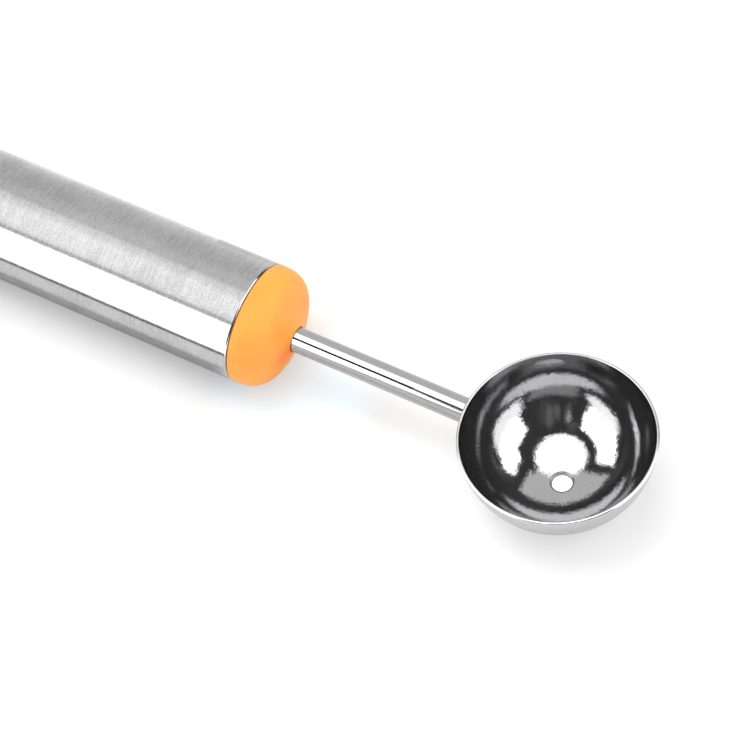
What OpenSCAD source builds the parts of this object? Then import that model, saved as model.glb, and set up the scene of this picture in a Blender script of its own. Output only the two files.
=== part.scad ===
// Melon baller with a tubular handle, lying on a flat surface.
// Sizes are in millimetres. The tool's axis runs along X and the scoop is at the +X end, open upwards (+Z).
// The origin is on the surface, halfway along the tool, under its axis.

/* [Scoop bowl] */
// Outer diameter of the sphere that the bowl is part of
bowl_d = 28.9; // [26:0.1:34]
// Thickness of the bowl's sheet steel
bowl_wall = 0.4; // [0.3:0.05:1.2]
// Depth of the rim's plane below the sphere's centre
rim_drop = 0.8; // [0.4:0.1:3]
// Angle by which the front of the rim is raised
nose_up = 6; // [0:0.5:12]
// Diameter of the vent hole at the bottom of the bowl
vent_d = 3; // [2:0.1:5]
// Width of the broken edge inside the bowl, round the vent hole
vent_break = 0.3; // [0.1:0.05:0.35]
// Distance from the front end of the tube to the sphere's centre
bowl_reach = 49.25; // [40:0.05:70]

/* [Shank] */
// Diameter of the rod
shank_d = 3.9; // [3.2:0.1:5]
// Height of the bowl's rim above the top of the rod, where they meet
rim_over_shank = 0.45; // [0.2:0.05:1.5]
// Depth of the ground flat under the rod's front end
heel_depth = 0.25; // [0.1:0.05:0.5]
// Length of the ground flat in front of the bowl
heel_l = 1.2; // [0.6:0.1:2.5]
// Length of the rod's tail that has a flat against turning
flat_l = 14; // [8:0.5:20]
// Depth of the flat on the tail
flat_depth = 0.6; // [0.3:0.05:1]
// Length of the tail that stands out behind the push nut
tail_over = 3; // [1.5:0.5:6]
// Bevel at the end of the tail
tail_bevel = 0.4; // [0.2:0.1:0.8]

/* [Weld] */
// Height of the weld on the bowl's wall
weld_t = 0.4; // [0.2:0.05:0.8]
// Width of the weld round the rod
weld_w = 0.45; // [0.2:0.05:0.9]

/* [Handle tube] */
// Outer diameter of the tube
tube_d = 19; // [16:0.5:24]
// Thickness of the tube's wall
tube_wall = 0.8; // [0.6:0.1:1.5]
// Length of the tube
tube_l = 115; // [80:1:150]
// Radius of the tube's outer end edges
lip_r = 0.3; // [0.1:0.05:0.5]

/* [Front plug] */
// Height of the dome in front of the tube
dome_h = 6.5; // [5.6:0.1:8]
// Radius of the dome's shoulder
dome_corner_r = 4; // [2.5:0.1:4.2]
// Length of the dome's rim behind its shoulder
dome_rim_l = 1.3; // [0.5:0.1:1.4]
// Length of the hub that holds the rod, from the front end of the tube
hub_l = 26; // [22:0.5:40]
// Diameter of the hub
hub_d = 9; // [8:0.2:11]

/* [Rear plug] */
// Length of the rear plug's rim behind the tube
eye_rim_l = 1; // [0.5:0.1:3]
// Thickness of the hang eye
eye_t = 9; // [7:0.2:12]
// Diameter of the hang hole
eye_hole_d = 6.5; // [5:0.1:8]
// Width of the bevel at both ends of the hang hole
eye_bevel = 0.5; // [0.2:0.1:0.8]
// Flat between the eye's shoulder and the bevel of the hang hole
eye_land = 0.3; // [0.1:0.1:1]
// Material behind the hang hole
tip_wall = 3.2; // [2.5:0.1:4]

/* [Plug rims and spigots] */
// Narrowing of each plug's rim, on the radius, from the tube outwards
rim_taper = 0.05; // [0.02:0.01:0.2]
// Length of the skirt that each plug has inside the tube
skirt_l = 22; // [12:0.5:30]
// Thickness of the skirt
skirt_wall = 1.8; // [1.2:0.1:2.5]
// Bevel at the end of the skirt
skirt_bevel = 0.6; // [0.3:0.1:1]
// Thickness of the ribs between the skirt and the hub
rib_t = 1.6; // [1:0.1:2.5]
// Number of ribs
rib_n = 4; // [2:1:6]
// Thickness of the plug behind the end of the tube
floor_t = 2.5; // [1.5:0.1:4]

/* [Push nut] */
// Outer diameter of the nut
nut_d = 8.6; // [7:0.2:10]
// Thickness of the nut's spring steel
nut_t = 0.4; // [0.3:0.05:0.6]
// Width of the nut's flat rim
nut_rim = 1.1; // [0.8:0.1:1.5]
// Height of the nut's raised tongues
nut_dish = 0.7; // [0.3:0.1:1]
// Number of tongues
tongue_n = 5; // [3:1:8]
// Width of the slots between the tongues
slot_w = 0.6; // [0.4:0.1:0.9]

/* [Clearances] */
// Gap all round between a plug's skirt and the tube
skirt_gap = 0.05; // [0.02:0.01:0.15]
// Gap all round between the rod and the front plug
shank_gap = 0.04; // [0.02:0.01:0.1]
// Gap all round between the rod and the push nut's tongues
nut_gap = 0.02; // [0.01:0.01:0.05]

/* [Hidden] */
$fn = 96;
// Overrun of every cut past the surface that it opens
over = 1;
// Radius of the eye's concave shoulder as a share of the depth that it takes off the tube's round
shoulder_share = 1.3;

bowl_r = bowl_d / 2;
tube_r = tube_d / 2;
bore_r = tube_r - tube_wall;
shank_r = shank_d / 2;
vent_r = vent_d / 2;
// Radius of each plug at the outer end of its tapered rim
plug_r = tube_r - rim_taper;
eye_hole_r = eye_hole_d / 2;

// Rim circle of the bowl
rim_r = sqrt(bowl_r * bowl_r - rim_drop * rim_drop);
// Height of the sphere's centre above the tool's axis
bowl_up = shank_r + rim_over_shank + rim_drop * cos(nose_up) + rim_r * sin(nose_up);
// Reach of the bowl's front in front of the sphere's centre
nose_reach = bowl_r * sin(nose_up) > rim_drop ? bowl_r : rim_r * cos(nose_up) + rim_drop * sin(nose_up);
// Height of the tool's axis above the surface that it lies on
axis_z = max(tube_r, bowl_r - bowl_up);

// Hang eye, measured backwards from the rear end of the tube
shoulder_depth = tube_r - eye_t / 2;
shoulder_r = shoulder_share * shoulder_depth;
shoulder_l = sqrt(shoulder_r * shoulder_r - (shoulder_r - shoulder_depth) * (shoulder_r - shoulder_depth));
eye_start = eye_rim_l + shoulder_l;
eye_hole_x = eye_start + eye_land + eye_bevel + eye_hole_r;
tip_r = eye_hole_r + tip_wall;
eye_reach = eye_hole_x + tip_r;
// The arc at the eye's sides is tangent to the collar and to the tip's round
side_r = (pow(eye_hole_x - eye_rim_l, 2) / (plug_r - tip_r) + tip_r + plug_r) / 2;
side_angle = atan2(eye_hole_x - eye_rim_l, side_r - plug_r);

// Places along the tool
mouth_x = (tube_l + eye_reach - bowl_reach - nose_reach) / 2;
heel_x = mouth_x - tube_l;
bowl_x = mouth_x + bowl_reach;
hub_end_x = mouth_x - hub_l;
tail_x = hub_end_x - nut_t - nut_dish - tail_over;
flat_end_x = tail_x + flat_l;

// Dome: the crown's arc is tangent to the shoulder's arc
crown_h = dome_h - dome_rim_l;
dome_shoulder_x = plug_r - dome_corner_r;
crown_rise = crown_h - dome_corner_r;
crown_c = (pow(dome_shoulder_x, 2) - pow(crown_rise, 2)) / (2 * crown_rise);
crown_r = crown_c + crown_h;
crown_angle = atan2(dome_shoulder_x, crown_c);

module along_axis(x) {
    // Turns what is drawn up the Z axis to point forwards along the tool, from the place x
    translate([x, 0, axis_z]) rotate([0, 90, 0]) children();
}

module tube_wall_profile() {
    // Cross-section of the tube's wall, with its two outer edges rounded
    translate([bore_r, 0]) square([tube_wall - lip_r, tube_l]);
    translate([bore_r, lip_r]) square([tube_wall, tube_l - 2 * lip_r]);
    for (y = [lip_r, tube_l - lip_r])
        translate([tube_r - lip_r, y]) circle(r = lip_r);
}

module handle_tube() {
    color("silver")
        along_axis(heel_x) rotate_extrude() tube_wall_profile();
}

module skirt() {
    // Hollow skirt that runs back from the origin, towards -Z, with its far end bevelled
    skirt_r = bore_r - skirt_gap;
    rotate_extrude() difference() {
        translate([0, -skirt_l]) square([skirt_r, skirt_l]);
        translate([0, -skirt_l - over]) square([skirt_r - skirt_wall, skirt_l + over - floor_t]);
        translate([skirt_r, -skirt_l]) rotate(45)
            square(skirt_bevel * sqrt(2), center = true);
    }
}

module hub_ribs() {
    // Ribs that hold the hub in the middle of the skirt
    rib_reach = bore_r - skirt_gap - skirt_wall / 2;
    for (i = [0 : rib_n - 1])
        rotate(360 * i / rib_n)
            translate([hub_d / 4, -rib_t / 2, -skirt_l + skirt_bevel])
                cube([rib_reach - hub_d / 4, rib_t, skirt_l - skirt_bevel]);
}

module rim_profile(height) {
    // Half section of a plug's rim, which is as wide as the tube at the tube's end and tapers outwards
    polygon([[0, 0], [tube_r, 0], [plug_r, height], [0, height]]);
}

module dome_profile() {
    // Half section of the dome: crown arc and shoulder arc over the tapered rim
    intersection() {
        union() {
            rim_profile(dome_rim_l);
            intersection() {
                translate([0, dome_rim_l - crown_c]) circle(r = crown_r);
                translate([0, dome_rim_l]) polygon([
                    [0, 0],
                    [0, crown_h + over],
                    [(crown_h + over + crown_c) * tan(crown_angle), crown_h + over],
                    [dome_shoulder_x, 0]]);
            }
            translate([dome_shoulder_x, dome_rim_l]) circle(r = dome_corner_r);
            translate([0, dome_rim_l]) square([dome_shoulder_x, dome_corner_r * cos(crown_angle)]);
        }
        square([tube_r, dome_h + over]);
    }
}

module flatted_rod(start_x, end_x, radius, flat_end_x) {
    // Round rod from one place to another, whose rear stretch has a flat on top
    flat_z = axis_z + radius - flat_depth;
    difference() {
        along_axis(start_x) cylinder(r = radius, h = end_x - start_x);
        translate([start_x - over, -radius - over, flat_z])
            cube([flat_end_x - start_x + over, 2 * (radius + over), flat_depth + over]);
    }
}

module front_plug() {
    color("orange") difference() {
        union() {
            along_axis(mouth_x) rotate_extrude() dome_profile();
            along_axis(mouth_x) skirt();
            along_axis(mouth_x) hub_ribs();
            along_axis(hub_end_x) cylinder(d = hub_d, h = hub_l);
        }
        flatted_rod(hub_end_x - over, mouth_x + dome_h + over, shank_r + shank_gap, flat_end_x);
    }
}

module eye_profile() {
    // Half section of the rear plug's round, drawn from the tube's end upwards: tapered rim, side arc, tip
    rim_profile(eye_rim_l);
    intersection() {
        translate([plug_r - side_r, eye_rim_l]) circle(r = side_r);
        translate([0, eye_rim_l]) square([plug_r, side_r * sin(side_angle)]);
    }
    intersection() {
        translate([0, eye_hole_x]) circle(r = tip_r);
        translate([0, eye_rim_l]) square([tip_r, eye_reach]);
    }
}

module eye_cutter() {
    // Takes one side of the rear plug's round down to the flat of the hang eye
    rotate([90, 0, 0]) linear_extrude(tube_d + 2 * over, center = true) {
        translate([-eye_start, eye_t / 2 + shoulder_r]) circle(r = shoulder_r);
        translate([-eye_reach - over, eye_t / 2]) square([eye_reach + over - eye_start, 2 * shoulder_r]);
    }
}

module eye_hole() {
    // Hang hole with a bevel at both ends
    cylinder(r = eye_hole_r, h = eye_t + 2 * over, center = true);
    for (side = [0, 1])
        mirror([0, 0, side]) translate([0, 0, eye_t / 2 - eye_bevel])
            cylinder(r1 = eye_hole_r, r2 = eye_hole_r + eye_bevel + over, h = eye_bevel + over);
}

module rear_plug() {
    color("orange") {
        translate([heel_x, 0, axis_z]) difference() {
            rotate([0, -90, 0]) rotate_extrude() eye_profile();
            eye_cutter();
            mirror([0, 0, 1]) eye_cutter();
            translate([-eye_hole_x, 0, 0]) eye_hole();
        }
        translate([heel_x, 0, axis_z]) rotate([0, -90, 0]) skirt();
    }
}

module shank() {
    color("gainsboro") difference() {
        flatted_rod(tail_x, bowl_x, shank_r, flat_end_x);
        along_axis(tail_x) rotate_extrude()
            translate([shank_r, 0]) rotate(45) square(tail_bevel * sqrt(2), center = true);
        bowl_ball(bowl_r);
        heel_flat();
    }
}

module bowl_ball(radius) {
    translate([bowl_x, 0, axis_z + bowl_up]) sphere(r = radius);
}

module heel_flat() {
    // Ground flat under the rod where it meets the bowl
    heel_top = axis_z - shank_r + heel_depth;
    heel_drop = axis_z + bowl_up - heel_top;
    meet_x = bowl_x - sqrt(bowl_r * bowl_r - heel_drop * heel_drop);
    translate([meet_x - heel_l, -shank_r - over, heel_top - heel_depth - over])
        cube([bowl_r, shank_d + 2 * over, heel_depth + over]);
}

module push_nut() {
    // Flat rim, with tongues that lean backwards onto the rod
    grip_r = shank_r + nut_gap;
    rim_in = nut_d / 2 - nut_rim;
    color("darkgray") along_axis(hub_end_x) mirror([0, 0, 1]) difference() {
        rotate_extrude() {
            translate([rim_in, 0]) square([nut_rim, nut_t]);
            polygon([[grip_r, nut_dish], [rim_in, 0], [rim_in, nut_t], [grip_r, nut_dish + nut_t]]);
        }
        for (i = [0 : tongue_n - 1])
            rotate(360 * (i + 1 / 2) / tongue_n)
                translate([0, -slot_w / 2, -over]) cube([rim_in, slot_w, nut_dish + nut_t + 2 * over]);
    }
}

module scoop_bowl() {
    color("lightgray") difference() {
        bowl_ball(bowl_r);
        bowl_ball(bowl_r - bowl_wall);
        translate([bowl_x, 0, axis_z + bowl_up]) rotate([0, -nose_up, 0]) {
            translate([-bowl_d, -bowl_d, -rim_drop]) cube([2 * bowl_d, 2 * bowl_d, bowl_d]);
            translate([0, 0, -bowl_r - over]) cylinder(r = vent_r, h = bowl_r);
            translate([0, 0, -bowl_r + bowl_wall - vent_break])
                cylinder(r1 = vent_r, r2 = vent_r + vent_break + over, h = vent_break + over);
        }
    }
}

module bowl_weld() {
    // Slim collar on the bowl's wall, all round the rod
    color("gray") difference() {
        intersection() {
            bowl_ball(bowl_r + weld_t);
            along_axis(bowl_x - bowl_d) cylinder(r = shank_r + weld_w, h = bowl_d);
        }
        bowl_ball(bowl_r);
        shank();
    }
}

handle_tube();
front_plug();
rear_plug();
shank();
push_nut();
scoop_bowl();
bowl_weld();
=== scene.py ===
"""Looks of the melon baller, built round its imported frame.

Lengths are in metres, as in the frame, and places share its axes: +X runs along the tool towards the scoop,
+Z is up. Angles are in degrees where a name or comment says so.
"""

import logging
import math
from dataclasses import dataclass, field
from enum import Enum
from typing import Any, Mapping, Sequence, Union

import bmesh
import bpy
import numpy as np
from mathutils import Matrix, Vector


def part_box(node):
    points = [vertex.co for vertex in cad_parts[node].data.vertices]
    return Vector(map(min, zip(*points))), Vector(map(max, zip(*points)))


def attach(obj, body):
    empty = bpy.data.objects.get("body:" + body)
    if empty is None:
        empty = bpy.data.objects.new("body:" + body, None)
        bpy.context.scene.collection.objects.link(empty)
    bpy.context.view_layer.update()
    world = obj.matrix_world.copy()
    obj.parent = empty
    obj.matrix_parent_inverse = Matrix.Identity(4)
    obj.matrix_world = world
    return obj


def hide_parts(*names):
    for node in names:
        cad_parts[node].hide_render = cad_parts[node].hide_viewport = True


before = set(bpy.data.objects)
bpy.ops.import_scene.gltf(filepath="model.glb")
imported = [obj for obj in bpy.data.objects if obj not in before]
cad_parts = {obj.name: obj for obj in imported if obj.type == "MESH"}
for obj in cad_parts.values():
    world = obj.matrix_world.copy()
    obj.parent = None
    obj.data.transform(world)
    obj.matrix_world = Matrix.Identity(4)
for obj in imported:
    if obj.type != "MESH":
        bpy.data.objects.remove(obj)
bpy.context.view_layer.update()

LOG = logging.getLogger("melon_baller")
MM = 0.001
BODY = "root"
PHOTO_PX = 750
TUBE_R = 9.5 * MM
BOWL_R = 14.45 * MM
MERGE = 0.0005 * MM
NOTHING = 0.00001 * MM

Pair = tuple[float, float]
Triple = tuple[float, float, float]
Mesh = bpy.types.Mesh
Material = bpy.types.Material
Socket = bpy.types.NodeSocket
Tree = bpy.types.NodeTree


class Slot(Enum):
    """Material slots of the record."""

    TUBE = "brushed_tube"
    PLASTIC = "orange_plastic"
    ROD = "polished_rod"
    SPRING = "spring_steel"
    BOWL = "polished_bowl"
    WELD = "weld_steel"


class Edge(Enum):
    """Whether a turned section is a ring or ends on the axis."""

    RING = 1
    SOLID = 0


# Node helpers


@dataclass(frozen=True)
class Grain:
    """A noise: features per metre, for each axis where they differ, octaves, and the finer ones' share."""

    scale: float | Triple
    octaves: float = 2.0
    rough: float = 0.6


class Value:
    """A number that a node gives. An expression on it adds Math nodes."""

    def __init__(self, nodes: "Nodes", socket: Socket) -> None:
        """Wraps an output socket that carries a number."""
        self.nodes = nodes
        self.socket = socket

    def math(self, operation: str, *others: "Number") -> "Value":
        """Adds a Math node whose first input is this number."""
        return self.nodes.math(operation, self, *others)

    def __add__(self, other: "Number") -> "Value":
        """Sum."""
        return self.math("ADD", other)

    def __radd__(self, other: "Number") -> "Value":
        """Sum with the number first."""
        return self.math("ADD", other)

    def __sub__(self, other: "Number") -> "Value":
        """Difference."""
        return self.math("SUBTRACT", other)

    def __rsub__(self, other: "Number") -> "Value":
        """Difference with the number first."""
        return self.nodes.math("SUBTRACT", other, self)

    def __mul__(self, other: "Number") -> "Value":
        """Product."""
        return self.math("MULTIPLY", other)

    def __rmul__(self, other: "Number") -> "Value":
        """Product with the number first."""
        return self.math("MULTIPLY", other)

    def __truediv__(self, other: "Number") -> "Value":
        """Quotient."""
        return self.math("DIVIDE", other)

    def __rtruediv__(self, other: "Number") -> "Value":
        """Quotient with the number first."""
        return self.nodes.math("DIVIDE", other, self)

    def __pow__(self, other: "Number") -> "Value":
        """Power."""
        return self.math("POWER", other)

    def __mod__(self, other: "Number") -> "Value":
        """Remainder."""
        return self.math("MODULO", other)

    def __abs__(self) -> "Value":
        """Size without sign."""
        return self.math("ABSOLUTE")

    def step(self, low: float, high: float) -> "Value":
        """Rises smoothly from 0 at one level to 1 at the other, which may be the lower of the two."""
        levels = {"Value": self, "From Min": low, "From Max": high}
        return self.nodes.number("ShaderNodeMapRange", levels, interpolation_type="SMOOTHSTEP")

    def span(self, low: float, high: float) -> "Value":
        """Maps 0 to 1 onto a range, and clamps to it."""
        return self.nodes.number("ShaderNodeMapRange", {"Value": self, "To Min": low, "To Max": high})


Number = Union[Value, float, int]


class Nodes:
    """Builds the nodes of one tree, in a shader or in Geometry Nodes."""

    def __init__(self, tree: Tree) -> None:
        """Starts on a tree."""
        self.tree = tree

    def add(self, kind: str, sockets: Mapping[str, Any] | None = None, **settings: Any) -> bpy.types.Node:
        """Adds a node, sets its settings first, and then its sockets.

        Args:
            kind: The node's type.
            sockets: A value, a Value or an output socket for each input, by name or identifier.
            settings: Values of its properties. "stops" holds a ramp's stops.

        Returns:
            The node.
        """
        node = self.tree.nodes.new(kind)
        for key, value in settings.items():
            if key == "stops":
                self._set_stops(node.color_ramp.elements, value)
            else:
                setattr(node, key, value)
        for key, value in (sockets or {}).items():
            self.feed(next(s for s in node.inputs if s.enabled and key in (s.name, s.identifier)), value)
        return node

    def out(self, kind: str, sockets: Mapping[str, Any] | None = None, **settings: Any) -> Socket:
        """Adds a node and gives the first output that is in use."""
        return next(s for s in self.add(kind, sockets, **settings).outputs if s.enabled)

    def number(self, kind: str, sockets: Mapping[str, Any] | None = None, **settings: Any) -> Value:
        """Adds a node whose first output is a number, and gives it."""
        return Value(self, self.out(kind, sockets, **settings))

    @staticmethod
    def _set_stops(elements: Any, stops: Sequence[tuple[float, Sequence[float]]]) -> None:
        """Sets a ramp's stops.

        Args:
            elements: The ramp's elements, two of them at first.
            stops: Place and colour of each stop.
        """
        while len(elements) < len(stops):
            elements.new(1.0)
        for element, (place, color) in zip(elements, stops):
            element.position = place
            element.color = (*color, 1.0)

    def feed(self, place: Socket, value: Any) -> None:
        """Links or sets one input.

        Args:
            place: The input socket.
            value: A Value, an output socket or a plain value.
        """
        if isinstance(value, Value):
            value = value.socket
        if isinstance(value, Socket):
            self.tree.links.new(value, place)
        else:
            place.default_value = value

    def math(self, operation: str, *terms: Number) -> Value:
        """Adds a Math node of one or two terms."""
        return self.number("ShaderNodeMath", dict(zip(("Value", "Value_001"), terms)), operation=operation)

    def vector_math(self, operation: str, *terms: Any) -> Socket:
        """Adds a Vector Math node of one or two terms."""
        second = "Scale" if operation == "SCALE" else "Vector_001"
        return self.out("ShaderNodeVectorMath", dict(zip(("Vector", second), terms)), operation=operation)

    def split(self, vector: Socket) -> tuple[Value, ...]:
        """Gives the three numbers of a vector."""
        return tuple(Value(self, s) for s in self.add("ShaderNodeSeparateXYZ", {"Vector": vector}).outputs)

    def vector(self, x: Number, y: Number, z: Number) -> Socket:
        """Joins three numbers into a vector."""
        return self.out("ShaderNodeCombineXYZ", {"X": x, "Y": y, "Z": z})

    def noise(self, place: Socket, grain: Grain) -> Value:
        """Adds a noise.

        Args:
            place: Where it is read.
            grain: Its pattern.

        Returns:
            The noise, from 0 to 1 round 0.5.
        """
        scale = grain.scale
        if isinstance(scale, tuple):
            place, scale = self.vector_math("MULTIPLY", place, scale), 1.0
        sockets = {"Vector": place, "Scale": scale, "Detail": grain.octaves, "Roughness": grain.rough}
        return self.number("ShaderNodeTexNoise", sockets)

    def mix(self, share: Number, first: Any, second: Any) -> Socket:
        """Mixes two colours, each four numbers or a socket, by the share of the second."""
        sockets = {"Factor_Float": share, "A_Color": first, "B_Color": second}
        return self.out("ShaderNodeMix", sockets, data_type="RGBA")

    def shades(self, tone: Value, levels: Pair, tint: Triple, shares: Pair) -> Socket:
        """Mixes two shares of a tint, as a tone goes from one level to the other."""
        return self.mix(tone.step(*levels), *(rgba(tint, share) for share in shares))

    def bump(self, height: Number, distance: float, under: Any = None) -> Socket:
        """Adds a Bump node.

        Args:
            height: Height from 0 to 1.
            distance: Height of 1 in metres.
            under: The normal that it starts from, or nothing for the surface's own.

        Returns:
            The normal.
        """
        sockets = {"Height": height, "Distance": distance}
        if under is not None:
            sockets["Normal"] = under
        return self.out("ShaderNodeBump", sockets)

    def lean(self, tilt: Socket) -> Socket:
        """Gives the surface's normal, leant over by a vector."""
        surface = self.add("ShaderNodeNewGeometry").outputs["Normal"]
        return self.vector_math("NORMALIZE", self.vector_math("ADD", surface, tilt))

    def place(self, kind: str = "Object") -> Socket:
        """Gives the shaded point in Object or other coordinates."""
        return self.add("ShaderNodeTexCoord").outputs[kind]

    def rays(self) -> tuple[Value, Value]:
        """Gives 1 for camera rays, and 1 for mirrored rays."""
        path = self.add("ShaderNodeLightPath").outputs
        return Value(self, path["Is Camera Ray"]), Value(self, path["Is Glossy Ray"])


class Look(Nodes):
    """Builds the nodes of a new material, or of a world."""

    def __init__(self, name: str, world: bool = False) -> None:
        """Makes the material or world, with an empty tree.

        Args:
            name: Its name.
            world: Whether it is a world.
        """
        self.owner = (bpy.data.worlds if world else bpy.data.materials).new(name)
        self.output = "ShaderNodeOutputWorld" if world else "ShaderNodeOutputMaterial"
        self.owner.use_nodes = True
        self.owner.node_tree.nodes.clear()
        super().__init__(self.owner.node_tree)

    def finish(self, shader: Socket) -> bpy.types.ID:
        """Links a shader to the output, and gives the material or world."""
        self.add(self.output, {"Surface": shader})
        return self.owner

    def surface(self, sockets: Mapping[str, Any]) -> Material:
        """Ends the material with a Principled shader that has these sockets."""
        return self.finish(self.out("ShaderNodeBsdfPrincipled", sockets))

    def glow(self, color: Any, strength: Number) -> Socket:
        """Adds an Emission shader."""
        return self.out("ShaderNodeEmission", {"Color": color, "Strength": strength})


def rgba(tint: Triple, share: float = 1.0) -> tuple[float, ...]:
    """Gives a tint, or a share of it, as an opaque colour."""
    return (*(min(1.0, c * share) for c in tint), 1.0)


def grey(level: float) -> tuple[float, ...]:
    """Gives a neutral opaque colour."""
    return rgba((level, level, level))


def squares(*parts: Value) -> Value:
    """Adds up the squares of numbers."""
    return sum((part * part for part in parts[1:]), parts[0] * parts[0])


def blend(shares: Sequence[float], *parts: Value) -> Value:
    """Adds up numbers, each times its own share."""
    return sum((part * share for part, share in zip(parts[1:], shares[1:])), parts[0] * shares[0])


def spot(place: Sequence[Value], centre: Sequence[float], radii: Pair) -> Value:
    """Gives 0 beyond the first radius round a centre, and rises smoothly to 1 at the second."""
    return squares(*(p - c for p, c in zip(place, centre))).math("SQRT").step(*radii)


# Mesh helpers


def add_object(name: str, data: bpy.types.ID) -> bpy.types.Object:
    """Makes an object and links it to the scene.

    Args:
        name: Its name.
        data: Its mesh, lamp or camera.

    Returns:
        The object.
    """
    obj = bpy.data.objects.new(name, data)
    bpy.context.scene.collection.objects.link(obj)
    return obj


def plain_mesh(obj: bpy.types.Object) -> Mesh:
    """Gives the evaluated shape of an object as a mesh of its own."""
    depsgraph = bpy.context.evaluated_depsgraph_get()
    return bpy.data.meshes.new_from_object(obj.evaluated_get(depsgraph), depsgraph=depsgraph)


def to_mesh(bm: bmesh.types.BMesh, name: str, finish: Material) -> Mesh:
    """Turns a BMesh into a mesh, and frees it.

    Args:
        bm: The BMesh.
        name: The mesh's name.
        finish: Its material.

    Returns:
        The mesh.
    """
    mesh = bpy.data.meshes.new(name)
    bm.to_mesh(mesh)
    bm.free()
    mesh.materials.append(finish)
    return mesh


@dataclass
class Section:
    """Half section of a turned piece. Guard points beside each faceted fillet keep the next flats flat."""

    edge: Edge = Edge.RING
    facets: int = 5
    guard: float = 0.04 * MM
    corners: list[Triple] = field(default_factory=list)

    def to(self, *corners: tuple[float, ...]) -> "Section":
        """Adds corners.

        Args:
            corners: Place along the axis, distance from it and, where the corner is rounded, that radius.

        Returns:
            The section itself.
        """
        self.corners += [(*corner, 0.0)[:3] for corner in corners]
        return self

    def arc(self, centre: Pair, radius: float, ends: Pair, steps: int, fillets: Pair = (0, 0)) -> "Section":
        """Adds the points of an arc.

        Args:
            centre: Place along the axis and distance from it of the arc's centre.
            radius: The arc's radius.
            ends: Degrees of its first and last point, from the axis's direction towards larger radii.
            steps: Number of chords.
            fillets: Radii that round its first and last point.

        Returns:
            The section itself.
        """
        start, end = ends
        for i in range(steps + 1):
            angle = math.radians(start + (end - start) * i / steps)
            fillet = fillets[0] if i == 0 else fillets[1] if i == steps else 0.0
            self.to((centre[0] + radius * math.cos(angle), centre[1] + radius * math.sin(angle), fillet))
        return self

    def outline(self) -> list[Pair]:
        """Rounds the corners.

        Returns:
            The section's points.
        """
        points: list[Pair] = []
        for i, (x, r, fillet) in enumerate(self.corners):
            if fillet <= 0:
                points.append((x, r))
                continue
            here = Vector((x, r))
            to_before = Vector(self.corners[i - 1][:2]) - here
            to_after = Vector(self.corners[(i + 1) % len(self.corners)][:2]) - here
            back, on = to_before.normalized(), to_after.normalized()
            half = back.angle(on) / 2
            reach = fillet / math.tan(half)
            middle = here + (back + on).normalized() * fillet / math.sin(half)
            first, last = here + back * reach, here + on * reach
            if to_before.length > reach + 2 * self.guard:
                points.append(tuple(first + back * self.guard))
            start = math.atan2(*(first - middle).yx)
            turn = (math.atan2(*(last - middle).yx) - start + math.pi) % math.tau - math.pi
            for k in range(self.facets + 1):
                a = start + turn * k / self.facets
                points.append((middle.x + fillet * math.cos(a), middle.y + fillet * math.sin(a)))
            if to_after.length > reach + 2 * self.guard:
                points.append(tuple(last + on * self.guard))
        return points


class Growth(Nodes):
    """Builds a Geometry Nodes tree that starts from a mesh and has named inputs."""

    def __init__(self, name: str, **kinds: str) -> None:
        """Starts the tree.

        Args:
            name: Its name.
            kinds: Kind of each named input, such as Int or Vector.
        """
        super().__init__(bpy.data.node_groups.new(name, "GeometryNodeTree"))
        self.tree.is_modifier = True
        for key, kind in {"start": "Geometry", **kinds, "finish": "Material"}.items():
            self.tree.interface.new_socket(key, in_out="INPUT", socket_type=f"NodeSocket{kind}")
        self.tree.interface.new_socket("piece", in_out="OUTPUT", socket_type="NodeSocketGeometry")
        self.given = self.add("NodeGroupInput").outputs

    def end(self, geometry: Socket) -> Tree:
        """Realises the geometry, gives it its finish and ends the tree.

        Args:
            geometry: The geometry.

        Returns:
            The tree.
        """
        real = self.out("GeometryNodeRealizeInstances", {"Geometry": geometry})
        dressed = self.out("GeometryNodeSetMaterial", {"Geometry": real, "Material": self.given["finish"]})
        self.add("NodeGroupOutput", {"piece": dressed})
        return self.tree


def turning_tree() -> Tree:
    """Builds the tree that turns a section round the X axis.

    A vertex of the section holds place, radius and half height between flats. The tree rounds the edge
    between round and flat, moves the piece to its place and gives it its material.

    Returns:
        The tree.
    """
    g = Growth("turned piece", steps="Int", ring="Int", power="Float", turn="Rotation", place="Vector")
    start, steps, power = g.given["start"], Value(g, g.given["steps"]), Value(g, g.given["power"])
    size = g.add("GeometryNodeAttributeDomainSize", {"Geometry": start}, component="MESH")
    count = Value(g, size.outputs["Point Count"])
    rows = count + Value(g, g.given["ring"])
    grid = g.out("GeometryNodeMeshGrid", {"Vertices X": steps + 1, "Vertices Y": rows})
    index = g.number("GeometryNodeInputIndex")
    column = (index / rows).math("FLOOR")
    row = (index - column * rows) % count
    sample = {"Geometry": start, "Value": g.out("GeometryNodeInputPosition"), "Index": row + 0.5}
    corner = g.out("GeometryNodeSampleIndex", sample, data_type="FLOAT_VECTOR", domain="POINT")
    place, radius, flat = g.split(corner)
    angle = column / steps * math.tau
    sine, cosine = angle.math("SINE"), angle.math("COSINE")
    crowd = abs(radius * cosine / flat) ** power
    round_r = radius / (1 + crowd) ** (1 / power)
    moved = {"Geometry": grid, "Position": g.vector(place, round_r * sine, round_r * cosine)}
    closed = {"Geometry": g.out("GeometryNodeSetPosition", moved), "Distance": MERGE}
    put = {
        "Geometry": g.out("GeometryNodeMergeByDistance", closed),
        "Rotation": g.given["turn"],
        "Translation": g.given["place"],
    }
    smooth = {"Geometry": g.out("GeometryNodeTransform", put), "Shade Smooth": True}
    return g.end(g.out("GeometryNodeSetShadeSmooth", smooth))


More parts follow.
